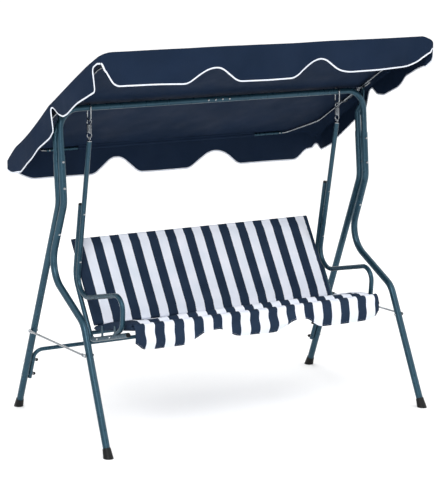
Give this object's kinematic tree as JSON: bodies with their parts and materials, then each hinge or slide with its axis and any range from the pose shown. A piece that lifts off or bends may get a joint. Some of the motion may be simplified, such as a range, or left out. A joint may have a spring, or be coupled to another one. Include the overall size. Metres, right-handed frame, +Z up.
{
  "type": "canopy swing bench",
  "caption": "Garden swing bench with a sprung, striped sling seat and back hanging in a bent steel tube stand, under a tilting scalloped fabric canopy.",
  "frame": {"origin": "on the floor, midway between the four feet", "axes": "+X along the bench to its left-hand end as one sits (right in front view), front faces -Y, +Z up"},
  "size_m": [1.696, 1.0145, 1.737],
  "materials": {
    "frame_paint": "metallic teal-blue enamel, semi-gloss",
    "plated_steel": "zinc plated, bright",
    "black_plastic": "moulded, satin",
    "canopy_cloth": "woven polyester with white bound edges",
    "striped_cloth": "woven polyester, navy and white stripes",
    "white_binding": "woven white edge binding"
  },
  "bodies": {
    "stand": {"front_leg_left": "frame_paint", "front_leg_right": "frame_paint", "rear_leg_left": "frame_paint", "rear_leg_right": "frame_paint", "foot_cap_front_left": "black_plastic", "foot_cap_front_right": "black_plastic", "foot_cap_rear_left": "black_plastic", "foot_cap_rear_right": "black_plastic", "crossbar_left": "frame_paint", "crossbar_right": "frame_paint", "crossbar_sleeve": "frame_paint", "splice_bolts": "plated_steel", "leg_bolts": "plated_steel", "rear_stretcher": "frame_paint", "stretcher_bolts": "plated_steel", "stretcher_nut_caps": "black_plastic", "side_brace_left": "plated_steel", "side_brace_right": "plated_steel", "brace_bolts": "plated_steel", "spring_stirrup_left": "plated_steel", "spring_stirrup_right": "plated_steel", "canopy_pivot_bolts": "plated_steel"},
    "spring_set": {"spring_left": "plated_steel", "spring_right": "plated_steel"},
    "bench": {"hanger_eye_left": "plated_steel", "hanger_eye_right": "plated_steel", "hanger_left": "frame_paint", "hanger_right": "frame_paint", "side_tube_left": "frame_paint", "side_tube_right": "frame_paint", "tube_plugs": "black_plastic", "back_frame": "frame_paint", "seat_frame": "frame_paint", "rear_cross_tube": "frame_paint", "back_pad": "striped_cloth", "seat_pad": "striped_cloth", "seat_valance": "striped_cloth", "seat_brackets": "frame_paint", "seat_bolts": "plated_steel"},
    "canopy": {"canopy_front_tube": "frame_paint", "canopy_rear_tube": "frame_paint", "canopy_front_rod_left": "plated_steel", "canopy_front_rod_right": "plated_steel", "canopy_rear_rod_left": "plated_steel", "canopy_rear_rod_right": "plated_steel", "canopy_plate_left": "plated_steel", "canopy_plate_right": "plated_steel", "canopy_clamp_bolts": "plated_steel", "canopy_rail_screws": "plated_steel", "canopy_roof": "canopy_cloth", "valance_left": "canopy_cloth", "valance_right": "canopy_cloth"},
    "front_flap": {"valance_front": "canopy_cloth"},
    "rear_flap": {"valance_rear": "canopy_cloth"},
    "pivot_wing_nut_left": {"pivot_wing_nut_left": "plated_steel"},
    "pivot_wing_nut_right": {"pivot_wing_nut_right": "plated_steel"},
    "clamp_wing_nut_left": {"clamp_wing_nut_left": "plated_steel"},
    "clamp_wing_nut_right": {"clamp_wing_nut_right": "plated_steel"}
  },
  "joints": [
    {"name": "seat_swing", "type": "hinge", "parent": "stand", "child": "spring_set", "pos_m": [0, 0.01, 1.3947], "axis": [1, 0, 0], "range_deg": [-15, 15]},
    {"name": "seat_bounce", "type": "slide", "parent": "spring_set", "child": "bench", "axis": [0, 0, -1], "range_m": [0, 0.02], "stiffness_N_per_m": 16000, "springref_m": -0.02, "deforming": ["spring_left", "spring_right"]},
    {"name": "canopy_tilt", "type": "hinge", "parent": "stand", "child": "canopy", "pos_m": [0, 0.01, 1.458], "axis": [1, 0, 0], "range_deg": [-4, 57]},
    {"name": "front_flap_hang", "type": "hinge", "parent": "canopy", "child": "front_flap", "pos_m": [0, -0.48024, 1.73497], "axis": [1, 0, 0], "range_deg": [-58, 5]},
    {"name": "rear_flap_hang", "type": "hinge", "parent": "canopy", "child": "rear_flap", "pos_m": [0, 0.50574, 1.19739], "axis": [1, 0, 0], "range_deg": [-58, 5]},
    {"name": "pivot_wing_nut_left_turn", "type": "hinge", "parent": "stand", "child": "pivot_wing_nut_left", "pos_m": [-0.776, 0.01, 1.458], "axis": [-1, 0, 0], "continuous": true},
    {"name": "pivot_wing_nut_right_turn", "type": "hinge", "parent": "stand", "child": "pivot_wing_nut_right", "pos_m": [0.776, 0.01, 1.458], "axis": [1, 0, 0], "continuous": true},
    {"name": "clamp_wing_nut_left_turn", "type": "hinge", "parent": "canopy", "child": "clamp_wing_nut_left", "pos_m": [-0.776, 0.15048, 1.38141], "axis": [-1, 0, 0], "continuous": true},
    {"name": "clamp_wing_nut_right_turn", "type": "hinge", "parent": "canopy", "child": "clamp_wing_nut_right", "pos_m": [0.776, 0.15048, 1.38141], "axis": [1, 0, 0], "continuous": true}
  ],
  "couplings": [
    {"joint": "front_flap_hang", "follows": "canopy_tilt", "ratio": -1},
    {"joint": "rear_flap_hang", "follows": "canopy_tilt", "ratio": -1}
  ]
}
